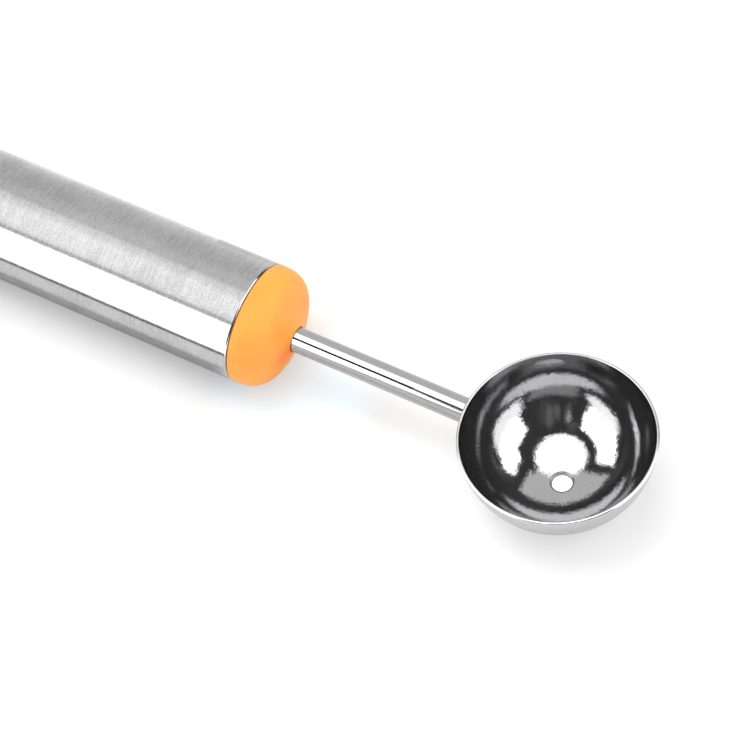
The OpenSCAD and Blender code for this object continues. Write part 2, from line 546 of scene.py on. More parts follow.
def rib_tree() -> Tree:
    """Builds the tree that sets ribs round a line along X.

    Returns:
        The tree.
    """
    g = Growth("ribs", count="Int", size="Vector", middle="Vector", axis_point="Vector")
    count = Value(g, g.given["count"])
    line = g.out("GeometryNodeMeshLine", {"Count": count, "Offset": (0.0, 0.0, 0.0)}, mode="OFFSET")
    rib = g.out("GeometryNodeMeshCube", {"Size": g.given["size"]})
    set_off = g.out("GeometryNodeTransform", {"Geometry": rib, "Translation": g.given["middle"]})
    turn = g.vector(g.number("GeometryNodeInputIndex") * math.tau / count, 0.0, 0.0)
    ribs = g.out("GeometryNodeInstanceOnPoints", {"Points": line, "Instance": set_off, "Rotation": turn})
    put = g.out("GeometryNodeTransform", {"Geometry": ribs, "Translation": g.given["axis_point"]})
    both = g.add("GeometryNodeJoinGeometry")
    for part in (put, g.given["start"]):
        g.feed(both.inputs[0], part)
    return g.end(both.outputs[0])


class Workshop:
    """Holds the trees that the pieces share, and runs them."""

    def __init__(self) -> None:
        """Builds the trees."""
        self.turning = turning_tree()
        self.ribs = rib_tree()

    @staticmethod
    def grow(seed: Mesh, tree: Tree, inputs: Mapping[str, Any]) -> Mesh:
        """Runs a tree on a mesh.

        Args:
            seed: What the tree starts from.
            tree: The tree.
            inputs: A value for each named input.

        Returns:
            The resulting plain mesh.
        """
        obj = add_object("seed", seed)
        modifier = obj.modifiers.new("grow", "NODES")
        modifier.node_group = tree
        for item in tree.interface.items_tree:
            if item.in_out == "INPUT" and item.name in inputs:
                modifier[item.identifier] = inputs[item.name]
        obj.update_tag()
        mesh = plain_mesh(obj)
        obj.modifiers.remove(modifier)
        bpy.data.objects.remove(obj)
        return mesh


@dataclass(frozen=True)
class Datum:
    """Sizes that the sub-assemblies share, and places read from the frame. nose_up is in degrees."""

    tube_r: float = TUBE_R
    rod_r: float = 1.95 * MM
    bowl_r: float = BOWL_R
    rim_drop: float = 0.8 * MM
    nose_up: float = 6.0
    axis_z: float = field(default_factory=lambda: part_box("handle_tube")[1].z - TUBE_R)
    mouth_x: float = field(default_factory=lambda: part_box("handle_tube")[1].x)
    heel_x: float = field(default_factory=lambda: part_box("handle_tube")[0].x)
    bowl_x: float = field(default_factory=lambda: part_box("scoop_bowl")[1].x - BOWL_R)
    bowl_z: float = field(default_factory=lambda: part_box("scoop_bowl")[0].z + BOWL_R)

    @property
    def mouth(self) -> Vector:
        """Middle of the tube's front end."""
        return Vector((self.mouth_x, 0.0, self.axis_z))

    @property
    def bowl_centre(self) -> Vector:
        """Centre of the bowl's ball."""
        return Vector((self.bowl_x, 0.0, self.bowl_z))

    @property
    def rim_normal(self) -> Vector:
        """Direction out of the bowl, square to its rim."""
        a = math.radians(self.nose_up)
        return Vector((-math.sin(a), 0.0, math.cos(a)))

    @property
    def vent(self) -> Vector:
        """Middle of the bowl's vent."""
        return self.bowl_centre - self.rim_normal * self.bowl_r


# Finishes


@dataclass(frozen=True)
class BrushedTube:
    """Satin steel with fine brush marks round the girth, which spread what it mirrors along the tube."""

    tint: Triple = (0.50, 0.50, 0.505)
    tone_levels: Pair = (0.42, 0.58)
    tone_shares: Pair = (0.82, 1.15)
    tone_mix: tuple[float, ...] = (0.25, 0.15, 0.4, 0.2)
    roughness: float = 0.11
    rough_swing: float = 0.1
    marks: Grain = Grain((1 / (0.14 * MM), 1 / (1.6 * MM), 1 / (1.6 * MM)))
    long_marks: Grain = Grain((0.5 / (0.14 * MM), 0.15 / (1.6 * MM), 0.15 / (1.6 * MM)))
    cloud: Grain = Grain(130.0, 3.0)
    mottle: Grain = Grain(1 / (0.2 * MM))
    relief: float = 0.003 * MM
    spread: float = 0.12
    mark_spread: float = 0.08

    def material(self) -> Material:
        """Builds the material.

        Returns:
            The material.
        """
        n = Look("brushed tube steel")
        at = n.place()
        grains = (self.marks, self.long_marks, self.mottle, self.cloud)
        marks, long_marks, mottle, cloud = (n.noise(at, grain) for grain in grains)
        tone = blend(self.tone_mix, marks, long_marks, mottle, cloud)
        fine = n.number("ShaderNodeTexWhiteNoise", {"Vector": at}, noise_dimensions="3D")
        tilt = (fine - 0.5) * self.spread + (marks - 0.5) * self.mark_spread
        return n.surface(
            {
                "Base Color": n.shades(tone, self.tone_levels, self.tint, self.tone_shares),
                "Metallic": 1.0,
                "Roughness": (tone - 0.5) * self.rough_swing + self.roughness,
                "Normal": n.bump(mottle, self.relief, n.lean(n.vector(tilt, 0.0, 0.0))),
            }
        )


@dataclass(frozen=True)
class DrawnRod:
    """Polished rod with fine drawn lines along it."""

    tint: Triple = (0.48, 0.48, 0.485)
    tone_levels: Pair = (0.4, 0.6)
    tone_shares: Pair = (0.88, 1.0)
    tone_mix: Pair = (0.5, 0.5)
    roughness: float = 0.09
    rough_swing: float = 0.06
    lines: Grain = Grain((1 / (6 * MM), 1 / (0.12 * MM), 1 / (0.12 * MM)), 3.0)
    grain: Grain = Grain(7000.0, 1.0, 0.5)
    cloud: Grain = Grain(4200.0)
    dents: Grain = Grain(260.0, 2.0, 0.5)
    line_mix: Pair = (0.5, 0.25)
    line_relief: float = 0.001 * MM
    dent_relief: float = 0.003 * MM

    def material(self) -> Material:
        """Builds the material.

        Returns:
            The material.
        """
        n = Look("polished rod steel")
        at = n.place()
        lines, grain, cloud = (n.noise(at, g) for g in (self.lines, self.grain, self.cloud))
        tone = blend(self.tone_mix, lines, cloud)
        dented = n.bump(n.noise(at, self.dents), self.dent_relief)
        return n.surface(
            {
                "Base Color": n.shades(tone, self.tone_levels, self.tint, self.tone_shares),
                "Metallic": 1.0,
                "Roughness": self.roughness + (lines - 0.5) * self.rough_swing,
                "Normal": n.bump(blend(self.line_mix, lines, grain), self.line_relief, dented),
            }
        )


@dataclass(frozen=True)
class PolishedBowl:
    """Bowl steel: mirror polish with a fine grain inside, a ground rim, and satin outside.

    Skin and rim band are depths under the outer ball and under the rim, between which one finish gives way to
    the next. The grain's tilt is small near the rim and grows between two heights.
    """

    datum: Datum
    tint_in: Triple = (0.46, 0.46, 0.465)
    tint_out: Triple = (0.56, 0.56, 0.565)
    tint_rim: Triple = (0.72, 0.72, 0.725)
    mix_in: Pair = (0.4, 0.6)
    tone_in: Pair = (0.36, 0.64)
    tone_out: Pair = (0.3, 0.7)
    shares_in: Pair = (0.9, 1.0)
    shares_out: Pair = (0.93, 1.0)
    rough_in: float = 0.07
    rough_out: float = 0.24
    swing_in: float = 0.05
    swing_out: float = 0.16
    rim_dull: float = 0.7
    metallic: float = 0.98
    skin: Pair = (0.08 * MM, 0.02 * MM)
    rim_band: Pair = (0.06 * MM, 0.03 * MM)
    cells_per_m: float = 1 / (0.16 * MM)
    cell_tilt: float = 0.037
    rim_tilt: float = 0.2
    tilt_heights: Pair = (-2.0 * MM, -6.0 * MM)
    grain: Grain = Grain(1 / (0.16 * MM))
    waves: Grain = Grain(0.22 / (0.16 * MM), 2.0, 0.5)
    clouds: Grain = Grain(240.0, 3.0)
    rings: Grain = Grain((2600.0, 60.0, 60.0))
    satin: Grain = Grain((900.0, 900.0, 4200.0), 3.0, 0.65)
    relief_in: Pair = (0.06, 0.2)
    relief_out: float = 0.2
    relief_rim: float = 0.1
    relief: float = 0.04 * MM

    def material(self) -> Material:
        """Builds the material.

        Returns:
            The material.
        """
        n = Look("polished bowl steel")
        d = self.datum
        local = n.vector_math("SUBTRACT", n.place(), tuple(d.bowl_centre))
        radius = Value(n, n.vector_math("LENGTH", local))
        height = Value(n, n.vector_math("DOT_PRODUCT", local, tuple(d.rim_normal)))
        outside = radius.step(*(d.bowl_r - depth for depth in self.skin))
        rim = height.step(*(-d.rim_drop - depth for depth in self.rim_band))
        x, y, _ = n.split(local)
        grains = (self.grain, self.waves, self.clouds, self.satin)
        grain, waves, clouds, satin = (n.noise(local, pattern) for pattern in grains)
        rings = n.noise(n.vector(height, x, y), self.rings)
        tone = blend(self.mix_in, clouds, grain)
        inside_tint = n.shades(tone, self.tone_in, self.tint_in, self.shares_in)
        outside_tint = n.shades(satin, self.tone_out, self.tint_out, self.shares_out)
        rough_in = self.rough_in + (clouds - 0.5) * self.swing_in
        rough_out = self.rough_out + (satin - 0.5) * self.swing_out
        cells = n.add("ShaderNodeTexVoronoi", {"Vector": local, "Scale": self.cells_per_m}).outputs["Color"]
        deep = height.step(*self.tilt_heights) * (1 - self.rim_tilt) + self.rim_tilt
        tilt = n.vector_math("SUBTRACT", cells, (0.5, 0.5, 0.5))
        normal = n.lean(n.vector_math("SCALE", tilt, (1 - outside) * deep * self.cell_tilt))
        lift = blend(self.relief_in, grain, waves) * (1 - outside) + satin * outside * self.relief_out
        lift += rings * rim * self.relief_rim
        return n.surface(
            {
                "Base Color": n.mix(rim, n.mix(outside, inside_tint, outside_tint), rgba(self.tint_rim)),
                "Metallic": self.metallic,
                "Roughness": rough_in + (rough_out - rough_in) * outside.math("MAXIMUM", rim * self.rim_dull),
                "Normal": n.bump(lift, self.relief, normal),
            }
        )


@dataclass(frozen=True)
class OrangePlastic:
    """Matt, slightly translucent orange moulding, with painted shadow deepening it beside the rod and
    darkening its joints.

    Places are from the middle of the tube's mouth. Each painted shadow at a joint darkens between two
    distances, and the one round the rod begins between the two places of dome_x.
    """

    datum: Datum
    color: Triple = (0.98, 0.368, 0.053)
    pale: Triple = (1.0, 0.405, 0.068)
    deep: Triple = (0.95, 0.325, 0.042)
    tone_mix: Pair = (0.7, 0.3)
    tones: Triple = (0.32, 0.5, 0.68)
    # Painted shadow: a deeper orange round a spot beside the rod's exit, where the rod's shadow falls.
    painted_shadow_tint: Triple = (0.97, 0.21, 0.025)
    # Colour of the painted shadow in the gaps at the joints and round the rod.
    seam_shadow_tint: Triple = (0.16, 0.05, 0.02)
    painted_shadow_at: Triple = (6.5 * MM, -2.3 * MM, -0.9 * MM)
    painted_shadow_r: Pair = (4.0 * MM, 0.4 * MM)
    painted_shadow_share: float = 0.85
    # Where the painted shadow round the rod's bore and at the joints starts and ends.
    bore_shadow_r: Pair = (2.16 * MM, 2.04 * MM)
    dome_x: Pair = (4 * MM, 5 * MM)
    seam_shadow_x: Pair = (0.28 * MM, 0.16 * MM)
    seam_shadow_share: float = 0.9
    flow: Grain = Grain(150.0, 2.0, 0.5)
    speck: Grain = Grain(2600.0)
    skin: Grain = Grain(5200.0, 2.0, 0.5)
    relief_mix: Pair = (0.6, 0.4)
    relief: float = 0.006 * MM
    roughness: Pair = (0.40, 0.56)
    glow_depth: float = 1.2 * MM
    glow_weight: float = 0.25
    glow_tint: Triple = (1.0, 0.42, 0.12)
    specular: float = 0.4

    def material(self) -> Material:
        """Builds the material.

        Returns:
            The material.
        """
        n = Look("orange plastic")
        at = n.place()
        flow, speck, skin = (n.noise(at, g) for g in (self.flow, self.speck, self.skin))
        stops = list(zip(self.tones, (self.deep, self.color, self.pale)))
        ramp = n.out("ShaderNodeValToRGB", {"Fac": blend(self.tone_mix, flow, speck)}, stops=stops)
        x, y, z = n.split(n.vector_math("SUBTRACT", at, tuple(self.datum.mouth)))
        # Painted shadow on the dome, round a spot beside the rod's exit.
        shaded = spot((x, y, z), self.painted_shadow_at, self.painted_shadow_r)
        # Painted shadow: a thin dark line round the rod's bore and where the plugs meet the tube, for shadow
        # in the gaps.
        edge = squares(y, z).math("SQRT").step(*self.bore_shadow_r) * x.step(*self.dome_x)
        from_heel = abs(x + (self.datum.mouth_x - self.datum.heel_x))
        seam_shadows = edge.math("MAXIMUM", abs(x).math("MINIMUM", from_heel).step(*self.seam_shadow_x))
        tinted = n.mix(shaded * self.painted_shadow_share, ramp, rgba(self.painted_shadow_tint))
        return n.surface(
            {
                "Base Color": n.mix(seam_shadows * self.seam_shadow_share, tinted, rgba(self.seam_shadow_tint)),
                "Roughness": speck.span(*self.roughness),
                "Normal": n.bump(blend(self.relief_mix, skin, speck), self.relief),
                "Subsurface Weight": self.glow_weight,
                "Subsurface Radius": self.glow_tint,
                "Subsurface Scale": self.glow_depth,
                "Specular IOR Level": self.specular,
            }
        )


@dataclass(frozen=True)
class WeldSteel:
    """Ground and polished weld with a faint heat tint."""

    tint: Triple = (0.52, 0.51, 0.50)
    heat: Triple = (0.44, 0.39, 0.33)
    heat_levels: Pair = (0.42, 0.7)
    pool: Grain = Grain(1900.0)
    grind: Grain = Grain(8000.0, 1.0, 0.5)
    roughness: Pair = (0.16, 0.34)
    relief_mix: Pair = (0.8, 0.2)
    relief: float = 0.02 * MM

    def material(self) -> Material:
        """Builds the material.

        Returns:
            The material.
        """
        n = Look("weld steel")
        at = n.place()
        pool, grind = n.noise(at, self.pool), n.noise(at, self.grind)
        return n.surface(
            {
                "Base Color": n.mix(pool.step(*self.heat_levels), rgba(self.tint), rgba(self.heat)),
                "Metallic": 1.0,
                "Roughness": pool.span(*self.roughness),
                "Normal": n.bump(blend(self.relief_mix, pool, grind), self.relief),
            }
        )


@dataclass(frozen=True)
class SpringSteel:
    """Pressed spring steel with rolling marks and a dull oil film."""

    tint: Triple = (0.30, 0.30, 0.31)
    tone_levels: Pair = (0.35, 0.65)
    tone_shares: Pair = (0.8, 1.0)
    rolled: Grain = Grain((1500.0, 1500.0, 6000.0), 3.0)
    film: Grain = Grain(700.0, 3.0)
    roughness: Pair = (0.28, 0.46)
    relief: float = 0.008 * MM

    def material(self) -> Material:
        """Builds the material.

        Returns:
            The material.
        """
        n = Look("spring steel")
        at = n.place()
        film = n.noise(at, self.film)
        return n.surface(
            {
                "Base Color": n.shades(film, self.tone_levels, self.tint, self.tone_shares),
                "Metallic": 1.0,
                "Roughness": film.span(*self.roughness),
                "Normal": n.bump(n.noise(at, self.rolled), self.relief),
            }
        )


# The tool's sub-assemblies


@dataclass
class Piece:
    """A sub-assembly of the tool, with the workshop that makes it and its finish."""

    shop: Workshop
    datum: Datum
    finish: Material

    def turn(
        self,
        section: Section,
        steps: int,
        place: Sequence[float] | None = None,
        turn: Triple = (0.0, 0.0, 0.0),
        flats: Sequence[float] | None = None,
        power: float = 40.0,
    ) -> Mesh:
        """Turns a section round the X axis.

        Args:
            section: The half section.
            steps: Facets round the axis.
            place: Where the section's origin goes, on the tool's axis unless given.
            turn: Euler angles in radians, about that origin.
            flats: Half height between flats at each point of the outline.
            power: Sharpness of the edge between round and flat.

        Returns:
            The mesh, with its faces outwards.
        """
        points = section.outline()
        seed = bpy.data.meshes.new("section")
        seed.from_pydata([(x, r, h) for (x, r), h in zip(points, flats or [1.0] * len(points))], [], [])
        inputs = {
            "steps": steps,
            "ring": section.edge.value,
            "power": power,
            "turn": turn,
            "place": (0.0, 0.0, self.datum.axis_z) if place is None else place,
            "finish": self.finish,
        }
        mesh = self.shop.grow(seed, self.shop.turning, inputs)
        bm = bmesh.new()
        bm.from_mesh(mesh)
        bmesh.ops.dissolve_degenerate(bm, dist=NOTHING, edges=bm.edges)
        bmesh.ops.recalc_face_normals(bm, faces=bm.faces)
        bm.to_mesh(mesh)
        bm.free()
        return mesh

    @staticmethod
    def show(name: str, mesh: Mesh, slot: Slot, node: str) -> None:
        """Hands a finished piece to the frame.

        Args:
            name: The piece's name.
            mesh: Its mesh, in place.
            slot: The record's slot; not used.
            node: The node that it stands for.
        """
        mesh.name = name
        obj = add_object(name, mesh)
        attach(obj, BODY)
        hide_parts(node)
        LOG.info("%s: %d vertices, %d faces", name, len(mesh.vertices), len(mesh.polygons))


@dataclass
class HandleTube(Piece):
    """The round steel tube, with rolled-over lips."""

    wall: float = 0.8 * MM
    lip_r: float = 0.3 * MM
    inner_lip_r: float = 0.08 * MM
    steps: int = 256

    def build(self) -> None:
        """Turns the tube."""
        d = self.datum
        inner = d.tube_r - self.wall
        section = Section()
        section.to((d.heel_x, inner, self.inner_lip_r), (d.heel_x, d.tube_r, self.lip_r))
        section.to((d.mouth_x, d.tube_r, self.lip_r), (d.mouth_x, inner, self.inner_lip_r))
        self.show("handle_tube_steel", self.turn(section, self.steps), Slot.TUBE, "handle_tube")


@dataclass
class Plug(Piece):
    """Sizes that the two plugs share. The gap is left between a plug's rim and the tube's end."""

    skirt_r: float = 8.65 * MM
    skirt_wall: float = 1.8 * MM
    skirt_l: float = 22 * MM
    skirt_bevel: float = 0.6 * MM
    skirt_edge: float = 0.1 * MM
    floor_t: float = 2.5 * MM
    seam_r: float = 0.22 * MM
    rim_taper: float = 0.05 * MM
    gap: float = 0.01 * MM

    @property
    def plug_r(self) -> float:
        """Radius at the plug's rim."""
        return self.datum.tube_r - self.rim_taper

    @property
    def skirt_in(self) -> float:
        """Inner radius of the skirt."""
        return self.skirt_r - self.skirt_wall

    def skirt_end(self, end_x: float, way: float) -> tuple[tuple[float, ...], ...]:
        """Gives the corners of the skirt's bevelled end, from outside to inside.

        Args:
            end_x: Place of the end.
            way: 1 where the skirt runs towards larger places, and -1 where it runs the other way.

        Returns:
            The corners.
        """
        return (
            (end_x - way * self.skirt_bevel, self.skirt_r, self.skirt_edge),
            (end_x, self.skirt_r - self.skirt_bevel, self.skirt_edge),
            (end_x, self.skirt_in, self.skirt_edge),
        )


@dataclass
class FrontPlug(Plug):
    """The orange dome with its skirt, hub and ribs in the tube. The boss is a slight cone round the rod."""

    dome_h: float = 6.5 * MM
    corner_r: float = 4.0 * MM
    rim_l: float = 1.3 * MM
    hub_r: float = 4.5 * MM
    hub_l: float = 26 * MM
    hub_edge: float = 0.2 * MM
    root_r: float = 0.4 * MM
    bore_r: float = 1.965 * MM
    bore_lip: float = 0.05 * MM
    bore_edge: float = 0.1 * MM
    boss_r: float = 3.5 * MM
    boss_slope: float = 0.42
    boss_blend: float = 1.2 * MM
    crown_share: float = 0.985
    rib_t: float = 1.6 * MM
    rib_n: int = 4
    crown_steps: int = 18
    corner_steps: int = 24
    steps: int = 256

    def section(self) -> Section:
        """Draws the plug's half section, from the mouth of its bore outwards and back inside the tube.

        Returns:
            The section.
        """
        x0 = self.datum.mouth_x
        crown_h = self.dome_h - self.rim_l
        shoulder = self.plug_r - self.corner_r
        rise = crown_h - self.corner_r
        drop = (shoulder**2 - rise**2) / (2 * rise)
        crown_r = drop + crown_h
        crown_angle = math.degrees(math.atan2(shoulder, drop))
        boss_angle = math.degrees(math.asin(self.boss_r / crown_r))
        crown_x = x0 + self.rim_l - drop
        boss_x = crown_x + math.sqrt(crown_r**2 - self.boss_r**2)
        section = Section()
        section.to((boss_x + (self.boss_r - self.bore_r) * self.boss_slope, self.bore_r, self.bore_lip))
        crown_ends = (boss_angle, crown_angle * self.crown_share)
        section.arc((crown_x, 0.0), crown_r, crown_ends, self.crown_steps, (self.boss_blend, 0.0))
        section.arc((x0 + self.rim_l, shoulder), self.corner_r, (crown_angle, 90.0), self.corner_steps)
        section.to((x0 + self.gap, self.datum.tube_r, self.seam_r), (x0 + self.gap, self.skirt_r))
        section.to(*self.skirt_end(x0 - self.skirt_l, -1))
        return section.to(
            (x0 - self.floor_t, self.skirt_in, self.root_r),
            (x0 - self.floor_t, self.hub_r, self.root_r),
            (x0 - self.hub_l, self.hub_r, self.hub_edge),
            (x0 - self.hub_l, self.bore_r, self.bore_edge),
        )

    def build(self) -> None:
        """Turns the plug and sets its ribs."""
        rib_in = self.hub_r / 2
        rib_out = self.skirt_r - self.skirt_wall / 2
        rib_l = self.skirt_l - self.skirt_bevel - self.floor_t / 2
        rib_x = self.datum.mouth_x - self.skirt_l + self.skirt_bevel + rib_l / 2
        inputs = {
            "count": self.rib_n,
            "size": (rib_l, self.rib_t, rib_out - rib_in),
            "middle": (rib_x, 0.0, (rib_in + rib_out) / 2),
            "axis_point": (0.0, 0.0, self.datum.axis_z),
            "finish": self.finish,
        }
        mesh = self.shop.grow(self.turn(self.section(), self.steps), self.shop.ribs, inputs)
        self.show("front_plug_dome", mesh, Slot.PLASTIC, "front_plug")


@dataclass
class RearPlug(Plug):
    """The orange rear plug with its flat hang eye."""

    rim_l: float = 1.0 * MM
    rim_depth: float = 1.0 * MM
    eye_t: float = 9.0 * MM
    hole_r: float = 3.25 * MM
    hole_edge: float = 0.55 * MM
    hole_flare: float = 1.6
    overrun: float = 1.0 * MM
    mouth_share: float = 0.985
    tip_wall: float = 3.2 * MM
    bevel: float = 0.5 * MM
    land: float = 0.3 * MM
    shoulder_share: float = 1.3
    edge_power: float = 26.0
    skirt_lap: float = 0.5 * MM
    edge_turn: float = 80.0
    edge_steps: int = 8
    side_steps: int = 36
    tip_steps: int = 56
    eye_steps: int = 384
    hole_steps: int = 96
    skirt_steps: int = 128

    def build(self) -> None:
        """Turns the eye's round, presses its flats in, pierces it and adds the skirt."""
        d = self.datum
        depth = d.tube_r - self.eye_t / 2
        shoulder_r = self.shoulder_share * depth
        shoulder_l = math.sqrt(shoulder_r**2 - (shoulder_r - depth) ** 2)
        start = self.rim_l + shoulder_l
        hole_x = start + self.land + self.bevel + self.hole_r
        tip_r = self.hole_r + self.tip_wall
        side_l = hole_x - self.rim_l
        side_r = (side_l**2 / (self.plug_r - tip_r) + tip_r + self.plug_r) / 2
        tip_start = 90.0 - math.degrees(math.atan2(side_l, side_r - self.plug_r))
        section = Section(Edge.SOLID)
        section.to((self.gap, 0.0), (self.gap, d.tube_r - self.rim_depth), (self.gap, d.tube_r, self.seam_r))
        section.to((self.rim_l, self.plug_r))
        section.arc((self.rim_l, self.plug_r - side_r), side_r, (90.0, tip_start), self.side_steps)
        section.corners.pop()
        section.arc((hole_x, 0.0), tip_r, (tip_start, 0.0), self.tip_steps)
        flats = [self._flat(x, start, shoulder_r, shoulder_l) for x, _ in section.outline()]
        heel = (d.heel_x, 0.0, d.axis_z)
        eye = self.turn(section, self.eye_steps, heel, (0.0, 0.0, math.pi), flats, self.edge_power)
        pierced = self._pierce(eye, d.heel_x - hole_x)
        skirt = Section().to((-self.skirt_lap, self.skirt_in), (-self.skirt_lap, self.skirt_r))
        skirt.to(*self.skirt_end(self.skirt_l, 1))
        bm = bmesh.new()
        bm.from_mesh(pierced)
        bm.from_mesh(self.turn(skirt, self.skirt_steps, heel))
        bm.to_mesh(pierced)
        bm.free()
        self.show("rear_plug_eye", pierced, Slot.PLASTIC, "rear_plug")

    def _flat(self, x: float, start: float, shoulder_r: float, shoulder_l: float) -> float:
        """Gives the half height between the eye's flats at a place behind the tube.

        Args:
            x: Distance behind the tube.
            start: Where the flats begin.
            shoulder_r: Radius of the concave shoulder.
            shoulder_l: Length of the shoulder.

        Returns:
            The half height.
        """
        if x >= start:
            return self.eye_t / 2
        if start - x > shoulder_l:
            return self.eye_t / 2 + 2 * shoulder_r
        reach = min(start - x, shoulder_r)
        return self.eye_t / 2 + shoulder_r - math.sqrt(max(shoulder_r**2 - reach**2, 0.0))

    def _pierce(self, eye: Mesh, x: float) -> Mesh:
        """Cuts the hang hole, with rounded mouths.

        Args:
            eye: The eye's mesh.
            x: Place of the hole.

        Returns:
            The pierced mesh.
        """
        half, e = self.eye_t / 2, self.hole_edge
        end, wide = half + self.overrun, self.hole_r + e * self.hole_flare
        mouth_x, mouth_r = half - e * self.mouth_share, self.hole_r + e
        spool = Section(Edge.SOLID).to((-end, 0.0), (-end, wide))
        spool.arc((-mouth_x, mouth_r), e, (270.0 - self.edge_turn, 270.0), self.edge_steps)
        spool.arc((mouth_x, mouth_r), e, (-90.0, self.edge_turn - 90.0), self.edge_steps)
        spool.to((end, wide), (end, 0.0))
        upright = (0.0, -math.pi / 2, 0.0)
        cutter = add_object("spool", self.turn(spool, self.hole_steps, (x, 0.0, self.datum.axis_z), upright))
        target = add_object("eye", eye)
        modifier = target.modifiers.new("pierce", "BOOLEAN")
        modifier.operation = "DIFFERENCE"
        modifier.solver = "EXACT"
        modifier.object = cutter
        mesh = plain_mesh(target)
        for obj in (target, cutter):
            bpy.data.objects.remove(obj)
        return mesh


@dataclass
class Shank(Piece):
    """The polished rod, coped to the bowl in front. Its tail has a flat, and its front a short step below."""

    tail_bevel: float = 0.4 * MM
    edge: float = 0.1 * MM
    flat_l: float = 14 * MM
    flat_depth: float = 0.6 * MM
    flat_rings: tuple[float, ...] = (0.0, 0.3 * MM, 0.6 * MM, 2.0 * MM, 4.0 * MM)
    cope_l: float = 4 * MM
    cope_lead: float = 0.4 * MM
    cope_steps: int = 40
    end_share: float = 0.6
    heel_depth: float = 0.25 * MM
    heel_l: float = 1.2 * MM
    heel_slope: float = 0.15 * MM
    slack: float = 0.01 * MM
    sunk: float = 0.05 * MM
    steps: int = 128

    def build(self) -> None:
        """Turns the rod, copes its front end and presses its flats."""
        d = self.datum
        tail_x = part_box("shank")[0].x
        meet_x = d.bowl_x - d.bowl_r
        start_x = meet_x - self.cope_l
        section = Section(Edge.SOLID)
        section.to((tail_x, 0.0), (tail_x, d.rod_r - self.tail_bevel, self.edge))
        section.to((tail_x + self.tail_bevel, d.rod_r, self.edge))
        section.to(*((tail_x + self.flat_l + past, d.rod_r) for past in self.flat_rings))
        section.to((start_x - self.cope_lead, d.rod_r))
        places = (start_x + self.cope_l * i / self.cope_steps for i in range(self.cope_steps + 1))
        section.to(*((x, d.rod_r) for x in places))
        section.to((meet_x, d.rod_r * self.end_share), (meet_x, 0.0))
        mesh = self.turn(section, self.steps)
        co = np.empty(len(mesh.vertices) * 3)
        mesh.vertices.foreach_get("co", co)
        co = co.reshape(-1, 3)
        front = co[:, 0] > start_x
        share = (co[front, 0] - start_x) / (meet_x - start_x)
        offset = co[front, 1] ** 2 + (co[front, 2] - d.bowl_z) ** 2
        ball_x = d.bowl_x - np.sqrt((d.bowl_r - self.sunk) ** 2 - offset)
        co[front, 0] = start_x + share * (ball_x - start_x)
        low = d.axis_z - d.rod_r
        bottom_x = d.bowl_x - math.sqrt(d.bowl_r**2 - (d.bowl_z - low) ** 2)
        near = np.clip((co[:, 0] - (bottom_x - self.heel_l)) / self.heel_slope, 0.0, 1.0)
        co[:, 2] = np.maximum(co[:, 2], low + self.heel_depth * near * (co[:, 0] > start_x))
        tail = co[:, 0] < tail_x + self.flat_l + self.slack
        co[tail, 2] = np.minimum(co[tail, 2], d.axis_z + d.rod_r - self.flat_depth)
        mesh.vertices.foreach_set("co", co.ravel())
        mesh.update()
        self.show("shank_rod", mesh, Slot.ROD, "shank")


@dataclass
class ScoopBowl(Piece):
    """The pressed bowl, a body of revolution about its own tilted axis."""

    wall: float = 0.4 * MM
    inner_depth: float = 13.75 * MM
    inner_power: float = 2.2
    rim_edge: float = 0.06 * MM
    outer_edge: float = 0.22 * MM
    vent_r: float = 1.5 * MM
    vent_edge: float = 0.3 * MM
    vent_edge_out: float = 0.06 * MM
    inner_steps: int = 120
    outer_steps: int = 84
    steps: int = 256

    def inner_curve(self) -> list[Pair]:
        """Draws the inner wall's half section: a little flatter below and steeper at the rim than a ball.

        Returns:
            Place along the bowl's axis and radius of each point, from the vent to the rim.
        """
        d = self.datum
        rim_r = math.sqrt((d.bowl_r - self.wall) ** 2 - d.rim_drop**2)
        share = d.rim_drop / self.inner_depth
        widest = rim_r / (1 - share**self.inner_power) ** (1 / self.inner_power)
        start = math.asin((self.vent_r / widest) ** (self.inner_power / 2))
        end = math.acos(share ** (self.inner_power / 2))
        points = []
        for i in range(self.inner_steps + 1):
            angle = start + (end - start) * i / self.inner_steps
            depth = self.inner_depth * math.cos(angle) ** (2 / self.inner_power)
            points.append((-depth, widest * math.sin(angle) ** (2 / self.inner_power)))
        return points

    def build(self) -> None:
        """Turns the bowl."""
        d = self.datum
        vent_out = math.degrees(math.asin(self.vent_r / d.bowl_r))
        rim_out = math.degrees(math.acos(d.rim_drop / d.bowl_r))
        vent, *wall, rim = self.inner_curve()
        section = Section().to((*vent, self.vent_edge), *wall, (*rim, self.rim_edge))
        ends, edges = (180.0 - rim_out, 180.0 - vent_out), (self.outer_edge, self.vent_edge_out)
        section.arc((0.0, 0.0), d.bowl_r, ends, self.outer_steps, edges)
        tilt = (0.0, -math.pi / 2 - math.radians(d.nose_up), 0.0)
        mesh = self.turn(section, self.steps, d.bowl_centre, tilt)
        self.show("scoop_bowl_shell", mesh, Slot.BOWL, "scoop_bowl")


